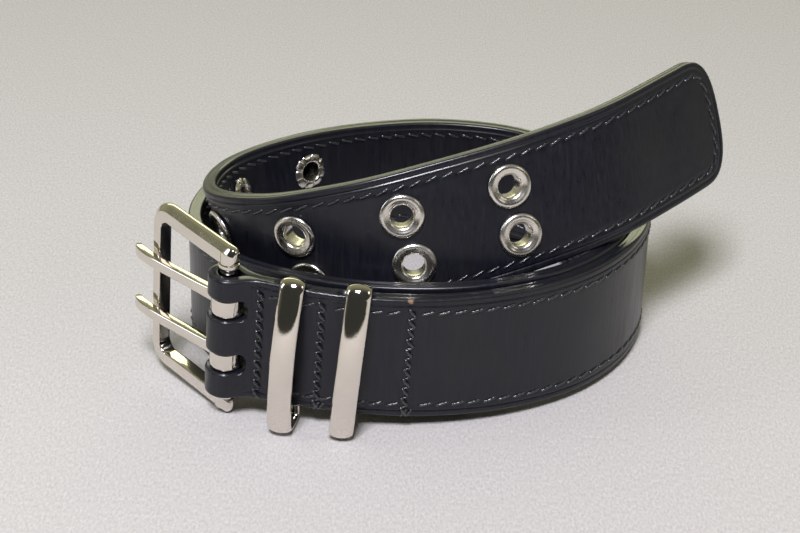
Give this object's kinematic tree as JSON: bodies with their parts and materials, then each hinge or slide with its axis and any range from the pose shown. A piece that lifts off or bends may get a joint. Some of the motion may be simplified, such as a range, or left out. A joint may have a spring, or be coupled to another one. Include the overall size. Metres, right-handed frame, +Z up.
{
  "type": "double-prong eyelet leather belt",
  "caption": "Wide stitched black leather belt coiled on its edge, with a double-prong metal buckle, metal keepers and a double row of eyelets.",
  "frame": {"origin": "centre of the bounding box in plan, at the plane the coiled belt stands on", "axes": "+X to the right and +Y to the back as the belt is seen with its buckle at the front left, +Z up, away from the surface it stands on"},
  "size_m": [0.2005, 0.1551, 0.0958],
  "materials": {
    "strap_leather": "glossy black waxed bridle leather with black thread",
    "buckle_metal": "polished nickel plate",
    "keeper_metal": "polished nickel plate",
    "eyelet_metal": "polished nickel plate"
  },
  "bodies": {
    "belt_body": {"strap": "strap_leather", "keeper_1": "keeper_metal", "keeper_2": "keeper_metal", "eyelet_1_upper": "eyelet_metal", "eyelet_1_lower": "eyelet_metal", "eyelet_2_upper": "eyelet_metal", "eyelet_2_lower": "eyelet_metal", "eyelet_3_upper": "eyelet_metal", "eyelet_3_lower": "eyelet_metal", "eyelet_4_upper": "eyelet_metal", "eyelet_4_lower": "eyelet_metal", "eyelet_5_upper": "eyelet_metal", "eyelet_5_lower": "eyelet_metal", "eyelet_6_upper": "eyelet_metal", "eyelet_6_lower": "eyelet_metal"},
    "frame_body": {"buckle_frame": "buckle_metal"},
    "upper_prong_body": {"prong_upper": "buckle_metal"},
    "lower_prong_body": {"prong_lower": "buckle_metal"}
  },
  "joints": [
    {"name": "frame_swing", "type": "hinge", "parent": "belt_body", "child": "frame_body", "pos_m": [-0.06641, -0.05744, 0.0307], "axis": [0.0584, -0.0536, 0.9969], "range_deg": [-18, 54]},
    {"name": "upper_prong_swing", "type": "hinge", "parent": "frame_body", "child": "upper_prong_body", "pos_m": [-0.06641, -0.05744, 0.0307], "axis": [0.0584, -0.0536, 0.9969], "range_deg": [0, 90]},
    {"name": "lower_prong_swing", "type": "hinge", "parent": "frame_body", "child": "lower_prong_body", "pos_m": [-0.06641, -0.05744, 0.0307], "axis": [0.0584, -0.0536, 0.9969], "range_deg": [0, 90]}
  ]
}
